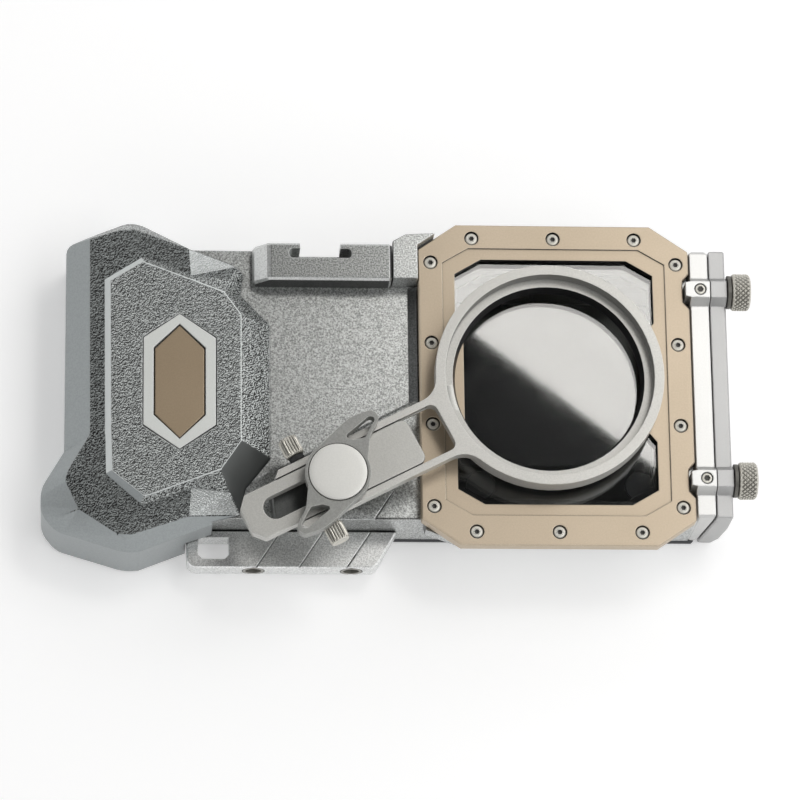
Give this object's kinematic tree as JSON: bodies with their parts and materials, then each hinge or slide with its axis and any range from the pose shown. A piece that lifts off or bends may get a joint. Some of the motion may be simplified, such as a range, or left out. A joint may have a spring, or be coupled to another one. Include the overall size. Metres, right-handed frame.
{
  "type": "underwater phone housing",
  "caption": "Aluminium diving housing for a phone, with a side handle, rear lens window, sealed end cap, accessory shoe, tripod plate and a swing-away arm with a threaded filter ring.",
  "frame": {"origin": "middle of the bounding box at its base; the housing lies on its front bezel, rear window up", "axes": "+X along the housing towards the end cap, +Y across it towards the accessory shoe, +Z out of the rear window"},
  "size_m": [0.2278, 0.1124, 0.0477],
  "materials": {
    "bead_blasted_aluminium": "bead-blasted, clear anodised, light silver grey",
    "satin_aluminium": "satin machined, bright silver",
    "warm_grey_aluminium": "fine blasted and anodised, warm light grey",
    "mid_grey_aluminium": "fine blasted and anodised, mid grey",
    "bronze_anodised": "satin bronze anodised",
    "stainless_steel": "bright machined stainless steel",
    "rear_glass": "clear polished glass over a dark inside",
    "black_rubber": "matt black",
    "black_plastic": "matt black",
    "touch_film": "clear flexible film, shown as a grey sheet",
    "grip_moulding": "dark grey moulding, leather-like grain on top, smooth on its sides"
  },
  "bodies": {
    "housing": {"arm_mount_block": "warm_grey_aluminium", "badge_core": "bronze_anodised", "badge_rim": "satin_aluminium", "bezel_screw_1": "stainless_steel", "bezel_screw_2": "stainless_steel", "bezel_screw_3": "stainless_steel", "bezel_screw_4": "stainless_steel", "bezel_screw_5": "stainless_steel", "bezel_screw_6": "stainless_steel", "body_shell": "bead_blasted_aluminium", "cradle_pad_1": "black_rubber", "cradle_pad_2": "black_rubber", "cradle_pad_3": "black_rubber", "frame_screw_01": "stainless_steel", "frame_screw_02": "stainless_steel", "frame_screw_03": "stainless_steel", "frame_screw_04": "stainless_steel", "frame_screw_05": "stainless_steel", "frame_screw_06": "stainless_steel", "frame_screw_07": "stainless_steel", "frame_screw_08": "stainless_steel", "frame_screw_09": "stainless_steel", "frame_screw_10": "stainless_steel", "frame_screw_11": "stainless_steel", "frame_screw_12": "stainless_steel", "frame_screw_13": "stainless_steel", "frame_screw_14": "stainless_steel", "front_bezel": "black_plastic", "grip_screw_1": "stainless_steel", "grip_screw_2": "stainless_steel", "grip_shell": "grip_moulding", "phone_cradle": "black_plastic", "pivot_stud": "stainless_steel", "rear_window_frame": "bronze_anodised", "rear_window_gasket": "black_rubber", "rear_window_glass": "rear_glass", "set_screw_lower": "stainless_steel", "set_screw_upper": "stainless_steel", "shoe_rail": "bead_blasted_aluminium", "touch_membrane": "touch_film", "touch_membrane_gasket": "black_rubber", "tripod_insert_1": "stainless_steel", "tripod_insert_2": "stainless_steel", "tripod_plate": "bead_blasted_aluminium"},
    "end_cap_body": {"end_cap": "satin_aluminium", "end_cap_seal": "black_rubber"},
    "thumb_washer_upper": {"thumbscrew_washer_upper": "black_rubber"},
    "thumb_washer_lower": {"thumbscrew_washer_lower": "black_rubber"},
    "thumb_screw_upper": {"thumbscrew_upper": "stainless_steel"},
    "thumb_screw_lower": {"thumbscrew_lower": "stainless_steel"},
    "bush": {"slot_bush": "stainless_steel"},
    "bar": {"guide_bar": "warm_grey_aluminium"},
    "arm": {"filter_arm": "warm_grey_aluminium", "clamp_washer_upper": "black_rubber", "clamp_washer_lower": "black_rubber"},
    "clamp_upper": {"clamp_screw_upper": "stainless_steel"},
    "clamp_lower": {"clamp_screw_lower": "stainless_steel"},
    "knob_ring": {"knob_washer": "black_rubber"},
    "knob": {"wing_knob": "mid_grey_aluminium", "knob_cap": "satin_aluminium"}
  },
  "joints": [
    {"name": "end_cap_slide", "type": "slide", "parent": "housing", "child": "end_cap_body", "axis": [1, 0, 0], "range_m": [0, 0.04]},
    {"name": "arm_swing", "type": "hinge", "parent": "housing", "child": "bush", "pos_m": [-0.02075, -0.03425, 0.0355], "axis": [0, 0, 1], "range_deg": [-100, 10]},
    {"name": "bar_slide", "type": "slide", "parent": "bush", "child": "bar", "axis": [0.891, 0.454, 0], "range_m": [0, 0.016]},
    {"name": "fork_slide", "type": "slide", "parent": "bar", "child": "arm", "axis": [0.891, 0.454, 0], "range_m": [-0.009, 0]},
    {"name": "knob_travel", "type": "slide", "parent": "housing", "child": "knob_ring", "axis": [0, 0, 1], "range_m": [0, 0.002]},
    {"name": "knob_turn", "type": "hinge", "parent": "knob_ring", "child": "knob", "pos_m": [-0.02075, -0.03425, 0.0448], "axis": [0, 0, 1], "range_deg": [0, 720]},
    {"name": "thumb_travel_upper", "type": "slide", "parent": "end_cap_body", "child": "thumb_washer_upper", "axis": [1, 0, 0], "range_m": [0, 0.0056]},
    {"name": "thumb_turn_upper", "type": "hinge", "parent": "thumb_washer_upper", "child": "thumb_screw_upper", "pos_m": [0.10795, 0.03215, 0.0303], "axis": [1, 0, 0], "range_deg": [0, 2520]},
    {"name": "thumb_travel_lower", "type": "slide", "parent": "end_cap_body", "child": "thumb_washer_lower", "axis": [1, 0, 0], "range_m": [0, 0.0056]},
    {"name": "thumb_turn_lower", "type": "hinge", "parent": "thumb_washer_lower", "child": "thumb_screw_lower", "pos_m": [0.10795, -0.03145, 0.0303], "axis": [1, 0, 0], "range_deg": [0, 2520]},
    {"name": "clamp_turn_upper", "type": "hinge", "parent": "arm", "child": "clamp_upper", "pos_m": [-0.03487, -0.02461, 0.03895], "axis": [-0.454, 0.891, 0], "range_deg": [0, 360]},
    {"name": "clamp_turn_lower", "type": "hinge", "parent": "arm", "child": "clamp_lower", "pos_m": [-0.02125, -0.05134, 0.03895], "axis": [0.454, -0.891, 0], "range_deg": [0, 360]}
  ],
  "couplings": [
    {"joint": "knob_travel", "follows": "knob_turn", "m_per_rad": 0.00015915},
    {"joint": "thumb_travel_upper", "follows": "thumb_turn_upper", "m_per_rad": 0.00012732},
    {"joint": "thumb_travel_lower", "follows": "thumb_turn_lower", "m_per_rad": 0.00012732}
  ]
}
